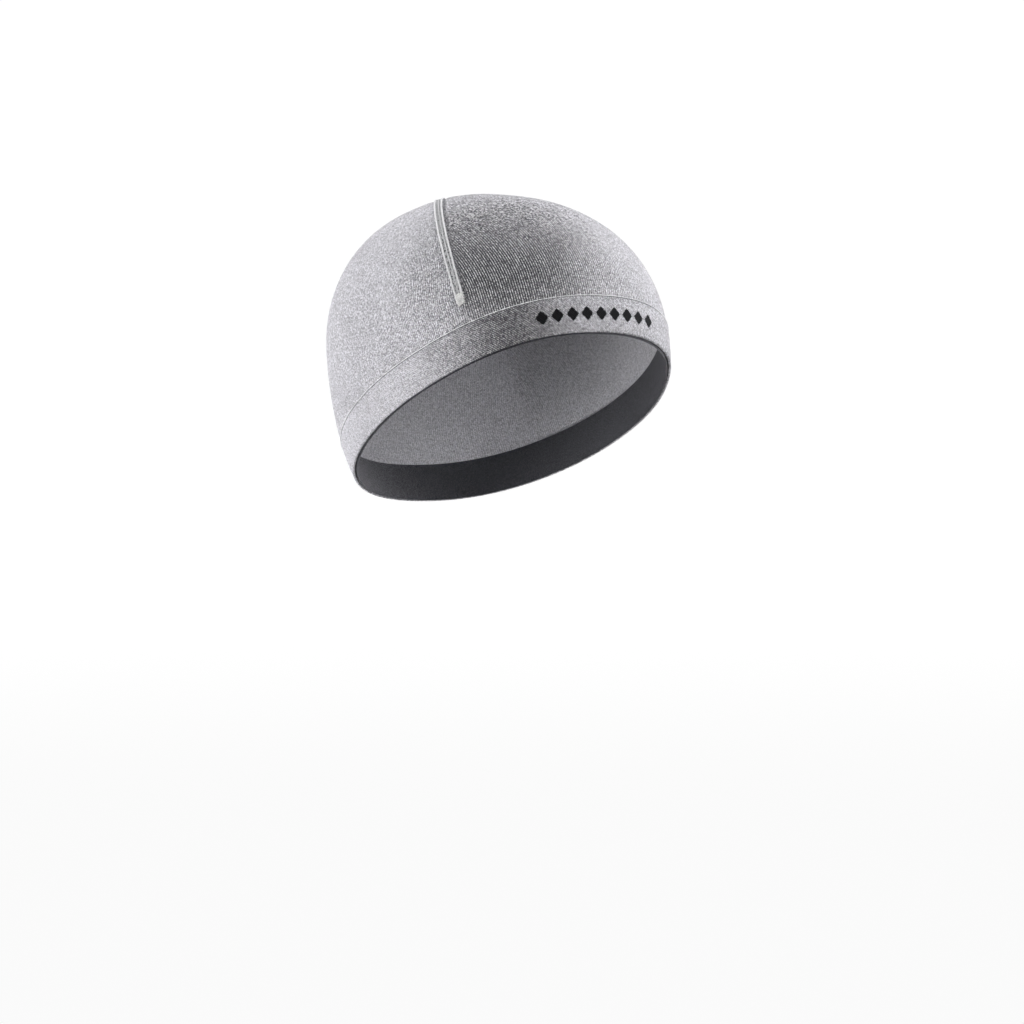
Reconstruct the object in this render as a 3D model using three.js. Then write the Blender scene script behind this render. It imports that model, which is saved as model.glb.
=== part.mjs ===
// Knitted liner cap for under a helmet, in the rounded form that it has when it is worn.
// Millimetres and degrees. +Z is up, the forehead lies towards -Y and the wearer's right towards -X.
// The origin is the highest point inside the crown, where the top of the wearer's skull rests.
import * as THREE from 'three';

// Form of the outer face, from the middle of the cap at its widest level
const halfWidth = 78.5;
const frontReach = 96.2;
const backReach = 90.3;
const crownHeight = 86.4;
const lowerDepth = 98.7;

// How full the form is between its axes: 2 is an ellipse, more is squarer
const planFullness = 2.2;
const profileFullness = 2.24;

// Broad swellings and hollows, azimuths from the forehead towards the wearer's right.
// The rise is a share of the distance from the middle, and a paired one has a twin on the left.
const swellings = [
  { name: 'forehead', azimuth: 0, elevation: -5, spread: 30, rise: -0.036, paired: false },
  { name: 'temple', azimuth: 56, elevation: 3, spread: 16, rise: -0.014, paired: true },
  { name: 'brow', azimuth: 50, elevation: 38, spread: 30, rise: -0.02, paired: true },
  { name: 'crownSide', azimuth: 122, elevation: 28, spread: 32, rise: 0.033, paired: true },
  { name: 'nape', azimuth: 128, elevation: -25, spread: 30, rise: -0.031, paired: true },
  { name: 'vertex', azimuth: 0, elevation: 90, spread: 32, rise: -0.021, paired: false },
  { name: 'seamRidge', azimuth: 111, elevation: 81, spread: 14, rise: 0.017, paired: false },
  { name: 'leftDip', azimuth: -52, elevation: 60, spread: 16, rise: -0.012, paired: false },
];

// Lie of the cap: its closed end leans back, and its rim falls from the forehead to the nape
const poleTilt = 28.7;
const rimTilt = 26.3;
const rimDrop = 28.4;
const rimSideDip = 3.3;

// Cloth layers
const crownWall = 1.2;
const bandWall = 1.5;
const bandRise = 0.3;
const facingWall = 0.9;
const layerGap = 0.3;

// Band of the hem, and the darker layer turned up inside it
const bandHeight = 18.1;
const facingShow = 0.8;
const facingLap = 2.5;

// Flat seam that closes the crown, over its pole, with a bar of stitches at each end
const seamAzimuth = 42.3;
const seamWidth = 4.5;
const seamThickness = 0.7;
const tackRise = 10;
const tackLength = 6;
const tackWidth = 4.7;
const tackThickness = 0.9;

// Shares of width and thickness round the seam's and the stitch bars' section
const stripSection = [
  { across: -0.5, up: 0 },
  { across: 0.5, up: 0 },
  { across: 0.5, up: 0.55 },
  { across: 0.38, up: 1 },
  { across: -0.38, up: 1 },
  { across: -0.5, up: 0.55 },
];

// Fineness of the faces
const azimuthSteps = 60;
const meridianSteps = 160;
const crownRows = 18;
const bandRows = 4;
const edgeSteps = 4;
const seamSteps = 56;
const tackSteps = 4;
const rimSearchSteps = 50;

// Short distances over which slopes are taken
const slopeStep = 0.01;
const wayStep = 0.5;

const radians = THREE.MathUtils.degToRad;
const innerFace = -crownWall;

function direction(azimuth, elevation) {
  const level = Math.cos(radians(elevation));
  return new THREE.Vector3(
    -Math.sin(radians(azimuth)) * level,
    -Math.cos(radians(azimuth)) * level,
    Math.sin(radians(elevation)),
  );
}

const bulges = swellings.flatMap(({ azimuth, elevation, spread, rise, paired }) =>
  (paired ? [azimuth, -azimuth] : [azimuth]).map((a) => ({
    towards: direction(a, elevation),
    spread: radians(spread),
    rise,
  })),
);

// Distance from the middle to the outer face along a unit vector
function formRadius(d) {
  const reach = d.y < 0 ? frontReach : backReach;
  const height = d.z > 0 ? crownHeight : lowerDepth;
  const plan = Math.abs(d.x / halfWidth) ** planFullness + Math.abs(d.y / reach) ** planFullness;
  const level = plan ** (profileFullness / planFullness);
  const radius = (level + Math.abs(d.z / height) ** profileFullness) ** (-1 / profileFullness);
  const swell = bulges.reduce((sum, { towards, spread, rise }) => {
    const away = 1 - d.dot(towards);
    return sum + rise * Math.exp((-2 * away) / spread ** 2);
  }, 1);
  return radius * swell;
}

// Unit vector at an azimuth round the cap's own pole and an angle down from that pole
function fromPole(azimuth, angle) {
  return direction(azimuth, 90 - angle).applyAxisAngle(new THREE.Vector3(1, 0, 0), radians(-poleTilt));
}

function surfacePoint(azimuth, angle, out) {
  const d = fromPole(azimuth, angle);
  return d.multiplyScalar(formRadius(d) + out);
}

// Height of a point over the rim's curved plane
const rimNormal = new THREE.Vector3(0, Math.sin(radians(rimTilt)), Math.cos(radians(rimTilt)));

function heightOverRim(point) {
  return point.dot(rimNormal) + rimDrop + rimSideDip * (point.x / halfWidth) ** 2;
}

function angleAtRim(azimuth) {
  let above = 0;
  let below = 180;
  for (let i = 0; i < rimSearchSteps; i++) {
    const angle = (above + below) / 2;
    if (heightOverRim(surfacePoint(azimuth, angle, 0)) > 0) above = angle;
    else below = angle;
  }
  return above;
}

// A line down the cloth from the pole to the rim, with its length measured along the cloth
function meridian(azimuth) {
  const rimAngle = angleAtRim(azimuth);
  const lengths = [0];
  let last = surfacePoint(azimuth, 0, 0);
  for (let i = 1; i <= meridianSteps; i++) {
    const next = surfacePoint(azimuth, (rimAngle * i) / meridianSteps, 0);
    lengths.push(lengths[i - 1] + next.distanceTo(last));
    last = next;
  }
  return { azimuth, rimAngle, lengths, length: lengths[meridianSteps] };
}

// Point at a distance up the cloth from the rim, and so far out from the form
function clothPoint(line, height, out) {
  const fromTop = line.length - height;
  let i = line.lengths.findIndex((l) => l > fromTop);
  if (i < 1) i = i === 0 ? 1 : meridianSteps;
  const share = (fromTop - line.lengths[i - 1]) / (line.lengths[i] - line.lengths[i - 1]);
  const angle = (line.rimAngle * (i - 1 + share)) / meridianSteps;
  return surfacePoint(line.azimuth, angle, out);
}

const meridians = Array.from({ length: azimuthSteps }, (_, i) => meridian((360 * i) / azimuthSteps));

// Half round edge of a wall, from its inner to its outer face or back
function roundEdge(height, side, outer, inner) {
  const half = (outer - inner) / 2;
  return Array.from({ length: edgeSteps + 1 }, (_, i) => {
    const turn = Math.PI * (i / edgeSteps - 0.5);
    return {
      height: height - side * half * (1 - Math.cos(turn)),
      out: inner + half - side * half * Math.sin(turn),
      toPole: 0,
    };
  });
}

// Section of a hoop of cloth: closed, with both edges rounded
function hoopSection(bottom, top, outer, inner) {
  const half = (outer - inner) / 2;
  const face = (from, to, out) =>
    Array.from({ length: bandRows - 1 }, (_, i) => {
      const height = THREE.MathUtils.lerp(from, to, (i + 1) / bandRows);
      return { height, out, toPole: 0 };
    });
  return [
    ...roundEdge(bottom, -1, outer, inner),
    ...face(bottom + half, top - half, outer),
    ...roundEdge(top, 1, outer, inner),
    ...face(top - half, bottom + half, inner),
  ];
}

// Section of the crown: from the pole down its inner face, round its edge and back up to the pole
function crownSection(bottom, outer, inner) {
  const start = bottom + (outer - inner) / 2;
  const rows = Array.from({ length: crownRows }, (_, i) => (i + 1) / crownRows);
  const up = (out) => rows.map((toPole) => ({ height: start, out, toPole }));
  return [...up(inner).reverse(), ...roundEdge(bottom, -1, outer, inner), ...up(outer)];
}

// A section carried round the cap. It closes on itself, or starts and ends at the pole.
function roundTheCap(section) {
  const positions = [];
  const rings = section.map(({ height, out, toPole }) => {
    const lines = toPole === 1 ? meridians.slice(0, 1) : meridians;
    return lines.map((line) => {
      const point = clothPoint(line, THREE.MathUtils.lerp(height, line.length, toPole), out);
      positions.push(point.x, point.y, point.z);
      return positions.length / 3 - 1;
    });
  });
  const indices = [];
  const open = rings[0].length === 1;
  for (let i = 0; i < rings.length - (open ? 1 : 0); i++) {
    const a = rings[i];
    const b = rings[(i + 1) % rings.length];
    for (let j = 0; j < azimuthSteps; j++) {
      const k = (j + 1) % azimuthSteps;
      if (b.length > 1) indices.push(a[j % a.length], b[j], b[k]);
      if (a.length > 1) indices.push(a[j], b[k % b.length], a[k]);
    }
  }
  return closedBody(positions, indices);
}

function closedBody(positions, indices) {
  const geometry = new THREE.BufferGeometry();
  geometry.setAttribute('position', new THREE.Float32BufferAttribute(positions, 3));
  geometry.setIndex(indices);
  geometry.computeVertexNormals();
  return geometry;
}

// The seam's way: up one meridian to the pole and down the opposite one
const seamFront = meridian(seamAzimuth);
const seamBack = meridian(seamAzimuth + 180);

function seamPoint(distance) {
  const line = distance < seamFront.length ? seamFront : seamBack;
  const height = line === seamFront ? distance : seamFront.length + seamBack.length - distance;
  return clothPoint(line, height, 0);
}

// Outward normal of the form at a point of its face
function formNormal(point) {
  const depth = (p) => p.length() - formRadius(p.clone().normalize());
  const slope = ['x', 'y', 'z'].map((axis) => {
    const ahead = point.clone();
    const behind = point.clone();
    ahead[axis] += slopeStep;
    behind[axis] -= slopeStep;
    return depth(ahead) - depth(behind);
  });
  return new THREE.Vector3(...slope).normalize();
}

// A strip that lies on the crown along the seam's way
function seamStrip(from, to, width, thickness, steps) {
  const positions = [];
  for (let i = 0; i <= steps; i++) {
    const distance = THREE.MathUtils.lerp(from, to, i / steps);
    const point = seamPoint(distance);
    const normal = formNormal(point);
    const along = seamPoint(distance + wayStep).sub(seamPoint(distance - wayStep));
    const side = along.cross(normal).normalize();
    for (const { across, up } of stripSection) {
      const corner = point.clone().addScaledVector(side, across * width);
      corner.addScaledVector(normal, layerGap + up * thickness);
      positions.push(corner.x, corner.y, corner.z);
    }
  }
  const sides = stripSection.length;
  const indices = [];
  for (let i = 0; i < steps; i++) {
    for (let j = 0; j < sides; j++) {
      const a = i * sides + j;
      const b = i * sides + ((j + 1) % sides);
      indices.push(a, b + sides, b, a, a + sides, b + sides);
    }
  }
  const last = steps * sides;
  for (let j = 1; j < sides - 1; j++) {
    indices.push(0, j, j + 1);
    indices.push(last, last + j + 1, last + j);
  }
  return closedBody(positions, indices);
}

// Places along the seam's way
const tackStart = bandHeight + tackRise;
const seamStart = tackStart + tackLength + layerGap;
const wayLength = seamFront.length + seamBack.length;

const cap = new THREE.Group();
const form = new THREE.Group();
form.position.z = -(formRadius(new THREE.Vector3(0, 0, 1)) + innerFace);
cap.add(form);

function addPiece(name, geometry, color, roughness) {
  const piece = new THREE.Mesh(geometry, new THREE.MeshStandardMaterial({ color, roughness, metalness: 0 }));
  piece.name = name;
  form.add(piece);
}

const crownEdge = bandHeight + layerGap / 2;
const bandEdge = bandHeight - layerGap / 2;
const bandInner = bandRise - bandWall;
const facingOuter = Math.min(innerFace, bandInner) - layerGap;

addPiece('crown', roundTheCap(crownSection(crownEdge, 0, innerFace)), 0xc6c6cb, 0.95);
addPiece('band', roundTheCap(hoopSection(0, bandEdge, bandRise, bandInner)), 0xbfbfc5, 0.95);
addPiece(
  'band_facing',
  roundTheCap(hoopSection(-facingShow, bandHeight + facingLap, facingOuter, facingOuter - facingWall)),
  0x3a3b40,
  0.95,
);
addPiece(
  'crown_seam',
  seamStrip(seamStart, wayLength - seamStart, seamWidth, seamThickness, seamSteps),
  0xd8d8da,
  0.85,
);

function addTack(name, from, to) {
  addPiece(name, seamStrip(from, to, tackWidth, tackThickness, tackSteps), 0xeeeeec, 0.8);
}

addTack('bartack_front', tackStart, tackStart + tackLength);
addTack('bartack_back', wayLength - tackStart - tackLength, wayLength - tackStart);

export default cap;
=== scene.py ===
"""Knitted liner cap for under a helmet: its cloth, its seam, its hem and a plain studio."""
import math

import bpy
import numpy as np
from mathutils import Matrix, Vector


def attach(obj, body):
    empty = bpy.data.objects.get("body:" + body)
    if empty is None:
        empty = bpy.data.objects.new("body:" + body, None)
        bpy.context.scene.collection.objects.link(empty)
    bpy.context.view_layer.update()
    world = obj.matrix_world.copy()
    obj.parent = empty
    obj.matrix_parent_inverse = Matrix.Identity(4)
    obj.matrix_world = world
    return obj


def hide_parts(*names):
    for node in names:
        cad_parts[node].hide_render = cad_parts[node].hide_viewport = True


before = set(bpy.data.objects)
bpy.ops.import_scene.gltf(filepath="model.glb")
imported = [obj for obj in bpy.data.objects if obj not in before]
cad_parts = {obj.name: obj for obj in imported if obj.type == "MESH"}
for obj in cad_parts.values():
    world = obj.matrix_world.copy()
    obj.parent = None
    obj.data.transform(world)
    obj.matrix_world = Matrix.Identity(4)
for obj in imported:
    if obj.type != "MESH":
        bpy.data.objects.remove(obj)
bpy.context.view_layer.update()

MM = 0.001

# The form, in millimetres and degrees, as the solids have it
HALF_WIDTH, FRONT_REACH, BACK_REACH = 78.5, 96.2, 90.3
CROWN_HEIGHT, LOWER_DEPTH = 86.4, 98.7
PLAN_FULLNESS, PROFILE_FULLNESS = 2.2, 2.24
POLE_TILT, RIM_TILT, RIM_DROP, RIM_SIDE_DIP = 28.7, 26.3, 28.4, 3.3

# Swellings: azimuth, elevation, spread, rise, and whether the left side has a twin
SWELLINGS = [
    (0, -5, 30, -0.036, False),
    (56, 3, 16, -0.014, True),
    (50, 38, 30, -0.02, True),
    (122, 28, 32, 0.033, True),
    (128, -25, 30, -0.031, True),
    (0, 90, 32, -0.021, False),
    (111, 81, 14, 0.017, False),
    (-52, 60, 16, -0.012, False),
]

# Cloth layers, the hem and the seam
CROWN_WALL, BAND_RISE, BAND_WALL, FACING_WALL, LAYER_GAP = 1.2, 0.3, 1.5, 0.9, 0.3
BAND_HEIGHT, FACING_SHOW, FACING_LAP = 18.1, 0.8, 2.5
SEAM_AZIMUTH = 42.3
TACK_RISE, TACK_LENGTH, TACK_WIDTH = 10, 6, 4.7
TACK_START = BAND_HEIGHT + TACK_RISE
TACK_END = TACK_START + TACK_LENGTH

# Lines down the cloth: how far they run from the pole, in degrees, and their finely spaced points
LINE_ANGLE, LINE_POINTS = 135, 541

# Step for the form's slope, in millimetres
SLOPE_STEP = 0.05

# Where the painted shade on crown and band is strongest: a direction from the cap's middle, and degrees round it
# within which it is full and beyond which it falls to its least share; then that share, and the share behind the
# seam
CROWN_SHADE_PLACE, BAND_SHADE_PLACE = ((-0.46, -0.64, 0.615), 12, 42), ((-0.6, -0.79, 0.12), 10, 32)
SHADE_LEAST, SHADE_BEHIND_SEAM = 0.2, 0.42

# Knit of each cloth: one column of stitches, and one course
CROWN_WALE, CROWN_COURSE = 1.1, 0.85
BAND_WALE, BAND_COURSE = 1.21, 0.67
FACING_WALE, FACING_COURSE = 0.6, 0.5


def direction(azimuth, elevation):
    """Unit vector. Azimuth 0 is the front, and positive azimuths lie towards the wearer's right."""
    a, e = np.radians(azimuth), np.radians(elevation)
    return np.stack([-np.sin(a) * np.cos(e), -np.cos(a) * np.cos(e), np.sin(e) + 0 * a], -1)


BULGES = [
    (direction(a, elevation), math.radians(spread), rise)
    for azimuth, elevation, spread, rise, paired in SWELLINGS
    for a in ([azimuth, -azimuth] if paired else [azimuth])
]


def form_radius(d):
    """Distance from the cap's middle to its outer face along unit vectors."""
    reach = np.where(d[..., 1] < 0, FRONT_REACH, BACK_REACH)
    height = np.where(d[..., 2] > 0, CROWN_HEIGHT, LOWER_DEPTH)
    plan = np.abs(d[..., 0] / HALF_WIDTH) ** PLAN_FULLNESS + np.abs(d[..., 1] / reach) ** PLAN_FULLNESS
    level = plan ** (PROFILE_FULLNESS / PLAN_FULLNESS)
    radius = (level + np.abs(d[..., 2] / height) ** PROFILE_FULLNESS) ** (-1 / PROFILE_FULLNESS)
    swell = 1 + sum(rise * np.exp(-2 * (1 - d @ to) / spread**2) for to, spread, rise in BULGES)
    return radius * swell


REST_HEIGHT = float(form_radius(np.array([0.0, 0.0, 1.0]))) - CROWN_WALL


def from_pole(azimuth, angle):
    """Unit vector at an azimuth round the cap's own pole and an angle down from that pole."""
    d = direction(azimuth, 90 - angle)
    t = math.radians(POLE_TILT)
    y = d[..., 1] * math.cos(t) + d[..., 2] * math.sin(t)
    z = d[..., 2] * math.cos(t) - d[..., 1] * math.sin(t)
    return np.stack([d[..., 0], y, z], -1)


def height_over_rim(points):
    """How far points lie above the rim's bowed plane."""
    t = math.radians(RIM_TILT)
    plane = points[..., 1] * math.sin(t) + points[..., 2] * math.cos(t)
    return plane + RIM_DROP + RIM_SIDE_DIP * (points[..., 0] / HALF_WIDTH) ** 2


class Meridians:
    """Lines down the cloth from the pole, with their lengths measured along the cloth."""

    def __init__(self, azimuths):
        self.azimuths = np.asarray(azimuths, float)
        self.angles = np.linspace(0, LINE_ANGLE, LINE_POINTS)
        d = from_pole(self.azimuths[:, None], self.angles[None, :])
        points = d * form_radius(d)[..., None]
        steps = np.linalg.norm(np.diff(points, axis=1), axis=2)
        self.along = np.concatenate([np.zeros((len(steps), 1)), np.cumsum(steps, 1)], 1)
        over = height_over_rim(points)
        rows = np.arange(len(over))
        under = np.argmax(over < 0, axis=1)
        share = over[rows, under - 1] / (over[rows, under - 1] - over[rows, under])
        self.lengths = self.along[rows, under - 1] + share * steps[rows, under - 1]

    def points(self, heights):
        """Points at heights up the cloth from the rim, one row of heights for each line."""
        angle = np.array(
            [np.interp(n - h, a, self.angles) for n, h, a in zip(self.lengths, heights, self.along)]
        )
        d = from_pole(self.azimuths[:, None], angle)
        return d * form_radius(d)[..., None]


def form_normal(points):
    """Outward normals of the form at points of its face."""

    def depth(p):
        size = np.linalg.norm(p, axis=-1)
        return size - form_radius(p / size[..., None])

    slope = [depth(points + SLOPE_STEP * axis) - depth(points - SLOPE_STEP * axis) for axis in np.eye(3)]
    normal = np.stack(slope, -1)
    return normal / np.linalg.norm(normal, axis=-1, keepdims=True)


def smooth(x):
    """Ease from 0 to 1."""
    x = np.clip(x, 0, 1)
    return x * x * (3 - 2 * x)


# Lines round the cap: closer together beside the seam, and a line on the seam itself
FINE_STEP, COARSE_STEP, FINE_REACH = 0.3, 1.05, 12


def quarter_offsets():
    """Degrees from the seam of the lines in a quarter of the round."""
    offsets = [0.0]
    while offsets[-1] < 90:
        near = smooth(offsets[-1] / FINE_REACH)
        offsets.append(offsets[-1] + FINE_STEP + (COARSE_STEP - FINE_STEP) * near)
    return np.array(offsets) * 90 / offsets[-1]


QUARTER = quarter_offsets()
HALF = np.r_[QUARTER[:-1], 180 - QUARTER[::-1][:-1]]
OFFSETS = np.r_[HALF, 180 + HALF]
LINES = Meridians(SEAM_AZIMUTH + OFFSETS)
RING = len(OFFSETS)

# Distance of a point from the seam's plane, towards the wearer's front left
SEAM_SIDE = from_pole(np.array(SEAM_AZIMUTH - 90.0), np.array(90.0))

# Size of the cloth's rings from the stitch bars' level up to the pole, and how fast the knit's columns
# close up on the way: a power of that size, from the first to the second
COLUMNS_CLOSE = 0.85, 0.35
SHARES = np.linspace(0, 1, 101)
ring_points = LINES.points(TACK_END + (LINES.lengths[:, None] - TACK_END) * SHARES[None, :])
ring_steps = np.diff(np.concatenate([ring_points, ring_points[:1]]), axis=0)
RING_RADII = np.linalg.norm(ring_steps, axis=2).sum(0) / (2 * math.pi)


def knit_place(heights):
    """Place on the knit, in millimetres: across the columns from the middle of a side, and along them."""
    share = np.clip((heights - TACK_END) / (LINES.lengths[:, None] - TACK_END), 0, 1)
    narrow = np.interp(share, SHARES, RING_RADII) / RING_RADII[0]
    power = COLUMNS_CLOSE[0] + (COLUMNS_CLOSE[1] - COLUMNS_CLOSE[0]) * share
    radius = RING_RADII[0] * np.maximum(narrow, 1e-6) ** power
    fold = np.minimum(OFFSETS, 360 - OFFSETS)[:, None]
    across = radius * np.radians(90 - fold)
    return across, heights + 0 * across


# Broad waves of hand-pulled cloth: their way in radians a millimetre, phase and size
WAVES = [
    ((0.061, 0.022, 0.035), 0.4, 0.10),
    ((-0.04, 0.071, 0.018), 2.1, 0.08),
    ((0.02, -0.05, 0.09), 4.0, 0.07),
]

# Relief beside the seam: place across it, reach and size of the gutters, the swells past them and the puckers
RIGHT_GUTTER, LEFT_GUTTER = (3.15, 0.8, 0.5), (-3.05, 0.7, 0.34)
SWELL_PLACE, SWELL_REACH, SWELL_SIZE = 6, 2.2, 0.14
PUCKER_PITCH, PUCKER_PLACE, PUCKER_REACH, PUCKER_SIZE = 3.1, 3.4, 2.2, 0.09

# Relief of the sewn part starts this far below the stitch bar, over this rise, and the tuck lies above the band
SEWN_BELOW, SEWN_RISE = 1.5, 2
TUCK_REACH, TUCK_DEPTH = 1.3, 0.3


def hill(x, place, reach):
    return np.exp(-(((x - place) / reach) ** 2))


def unevenness(points):
    """Low, broad unevenness of hand-pulled cloth, in millimetres."""
    return sum(size * np.sin(points @ np.array(way) + phase) for way, phase, size in WAVES)


def cloth_relief(points, heights):
    """How far the crown's outer face lies off the form: seam gutters, puckers, the tuck at the band."""
    across = points @ SEAM_SIDE
    sewn = smooth((heights - TACK_START + SEWN_BELOW) / SEWN_RISE)
    gutters = sum(hill(across, place, reach) * size for place, reach, size in (RIGHT_GUTTER, LEFT_GUTTER))
    swell = SWELL_SIZE * hill(np.abs(across), SWELL_PLACE, SWELL_REACH)
    near = np.exp(-np.abs(np.abs(across) - PUCKER_PLACE) / PUCKER_REACH)
    pucker = PUCKER_SIZE * np.cos(2 * math.pi * heights / PUCKER_PITCH) * near
    tuck = TUCK_DEPTH * hill(heights, BAND_HEIGHT, TUCK_REACH)
    return unevenness(points) + sewn * (swell + pucker - gutters) - tuck


def to_frame(points):
    """Millimetres from the cap's middle to metres in the part's frame."""
    return (points - np.array([0, 0, REST_HEIGHT])) * MM


def new_mesh(name, points, faces, materials, places=None, corners=None, parts=None):
    """A smooth-shaded mesh that rides on the cap. Its UV map holds places on the knit or thread, in millimetres.

    Places are given for each point, or corners for each corner of each face.
    """
    mesh = bpy.data.meshes.new(name)
    mesh.from_pydata(to_frame(points).tolist(), [], faces)
    for material in materials:
        mesh.materials.append(material)
    if parts is not None:
        mesh.polygons.foreach_set("material_index", parts)
    mesh.polygons.foreach_set("use_smooth", [True] * len(faces))
    if corners is None:
        order = np.empty(len(mesh.loops), np.int32)
        mesh.loops.foreach_get("vertex_index", order)
        corners = places[order]
    mesh.uv_layers.new(name="weave").data.foreach_set("uv", np.asarray(corners, np.float32).ravel())
    mesh.update()
    piece = bpy.data.objects.new(name, mesh)
    bpy.context.scene.collection.objects.link(piece)
    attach(piece, "root")
    return piece


# The knit behind the seam is another stretch of the same cloth, this far along it
SIDE_SHIFT = 400 * CROWN_WALE
BROW_PLACE = SIDE_SHIFT + RING_RADII[0] * math.radians(90 - SEAM_AZIMUTH)


def round_the_cap(name, rings, heights, materials, parts, to_pole):
    """Rings of points joined with quads. They close on each other, or start and end at the pole."""
    across, along = knit_place(np.stack(heights, 1))
    points, faces, corners, part_of, starts = [], [], [], [], []
    single = [to_pole and i in (0, len(rings) - 1) for i in range(len(rings))]
    for ring, at_pole in zip(rings, single):
        starts.append(len(points))
        points.extend(ring[:1] if at_pole else ring)
    for i in range(len(rings) - (1 if to_pole else 0)):
        k = (i + 1) % len(rings)
        for j in range(RING):
            n = (j + 1) % RING
            a, d = (starts[i], starts[i]) if single[i] else (starts[i] + j, starts[i] + n)
            b, c = (starts[k], starts[k]) if single[k] else (starts[k] + j, starts[k] + n)
            quad = [(a, i, j), (b, k, j), (c, k, n), (d, i, n)]
            if a == d:
                quad = quad[:3]
            elif b == c:
                quad = [quad[0], quad[1], quad[3]]
            shift = 0 if j < RING // 2 else SIDE_SHIFT
            faces.append([q[0] for q in quad])
            corners.extend((across[q[2], q[1]] + shift, along[q[2], q[1]]) for q in quad)
            part_of.append(parts[i])
    return new_mesh(name, np.array(points), faces, materials, corners=corners, parts=part_of)


# How much the fibres' fuzz and their gloss catch the light
SHEEN, SHEEN_TINT, SHEEN_ROUGHNESS, SPECULAR, ROUGHNESS = 0.4, (0.95, 0.93, 1.0), 0.45, 0.2, 0.9

# Cells by which one column's grain may start below another's
GRAIN_STARTS = 9.0

# Half-width of the change from the cloth behind the seam to the cloth before it: sharp from a little above the
# stitch bar's start, and soft from further below it
SHARP, SHARP_ABOVE, SOFT, SOFT_BELOW = 1.0, 4, 22.0, 14


class Graph:
    """A small helper for the node tree of one material."""

    def __init__(self, name):
        self.material = bpy.data.materials.new(name)
        self.material.use_nodes = True
        self.tree = self.material.node_tree
        self.tree.nodes.clear()
        self.shader = self.node("ShaderNodeBsdfPrincipled")
        self.link(self.shader.outputs[0], self.node("ShaderNodeOutputMaterial").inputs[0])
        weave = self.node("ShaderNodeUVMap")
        weave.uv_map = "weave"
        split = self.node("ShaderNodeSeparateXYZ")
        self.link(weave.outputs[0], split.inputs[0])
        self.u, self.v = split.outputs[0], split.outputs[1]

    def node(self, kind):
        return self.tree.nodes.new(kind)

    def link(self, source, target):
        if hasattr(source, "node"):
            self.tree.links.new(source, target)
        else:
            target.default_value = source

    def math(self, operation, a, b=0.0):
        node = self.node("ShaderNodeMath")
        node.operation = operation
        for source, target in zip((a, b), node.inputs):
            self.link(source, target)
        return node.outputs[0]

    def mul(self, a, b):
        return self.math("MULTIPLY", a, b)

    def add(self, a, b):
        return self.math("ADD", a, b)

    def sub(self, a, b):
        return self.math("SUBTRACT", a, b)

    def ramp(self, x, low, high, to_low=0.0, to_high=1.0):
        node = self.node("ShaderNodeMapRange")
        node.interpolation_type = "SMOOTHSTEP"
        for source, target in zip((x, low, high, to_low, to_high), node.inputs):
            self.link(source, target)
        return node.outputs[0]

    def vector(self, x, y, z=0.0):
        node = self.node("ShaderNodeCombineXYZ")
        for source, target in zip((x, y, z), node.inputs):
            self.link(source, target)
        return node.outputs[0]

    def random(self, x, y, z=0.0):
        node = self.node("ShaderNodeTexWhiteNoise")
        node.noise_dimensions = "3D"
        self.link(self.vector(x, y, z), node.inputs["Vector"])
        return node.outputs["Value"]

    def grain(self, across, along, seed):
        """One random value for each small cell of the cloth. The cells of each column start at their own height."""
        column = self.math("FLOOR", self.mul(self.u, across))
        start = self.mul(self.random(column, seed), GRAIN_STARTS)
        return self.random(column, self.math("FLOOR", self.add(self.mul(self.v, along), start)), seed)

    def noise(self, x, y, scale, detail):
        node = self.node("ShaderNodeTexNoise")
        self.link(self.vector(x, y), node.inputs["Vector"])
        node.inputs["Scale"].default_value = scale
        node.inputs["Detail"].default_value = detail
        return node.outputs[0]

    def vectors(self, operation, a, b=(0, 0, 0)):
        node = self.node("ShaderNodeVectorMath")
        node.operation = operation
        self.link(a, node.inputs[0])
        self.link(b, node.inputs[1])
        return node.outputs["Value" if operation == "DOT_PRODUCT" else "Vector"]

    def from_middle(self):
        """The shaded point in metres from the cap's middle."""
        return self.vectors("ADD", self.node("ShaderNodeTexCoord").outputs["Object"], (0, 0, REST_HEIGHT * MM))

    def mix(self, share, a, b):
        node = self.node("ShaderNodeMix")
        node.data_type = "RGBA"
        self.link(share, node.inputs["Factor"])
        for source, target in ((a, node.inputs[6]), (b, node.inputs[7])):
            self.link((*source, 1) if isinstance(source, tuple) else source, target)
        return node.outputs[2]

    def bump(self, height, depth):
        node = self.node("ShaderNodeBump")
        node.inputs["Distance"].default_value = depth * MM
        self.link(height, node.inputs["Height"])
        self.link(node.outputs[0], self.shader.inputs["Normal"])

    def finish(self, roughness=ROUGHNESS, sheen=SHEEN, specular=SPECULAR):
        self.shader.inputs["Roughness"].default_value = roughness
        self.shader.inputs["Specular IOR Level"].default_value = specular
        self.shader.inputs["Sheen Weight"].default_value = sheen
        self.shader.inputs["Sheen Roughness"].default_value = SHEEN_ROUGHNESS
        self.shader.inputs["Sheen Tint"].default_value = (*SHEEN_TINT, 1)
        return self.material


def across_seam(g):
    """Millimetres from the seam's plane, towards the wearer's front left."""
    return g.mul(g.vectors("DOT_PRODUCT", g.from_middle(), tuple(SEAM_SIDE)), 1 / MM)


def before_seam(g):
    """From 0 behind the seam to 1 before it: sharp along the seam, and soft below its end."""
    fade = g.ramp(g.v, TACK_START - SOFT_BELOW, TACK_START + SHARP_ABOVE, SOFT, SHARP)
    return g.ramp(across_seam(g), g.mul(fade, -1.0), fade)


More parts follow.
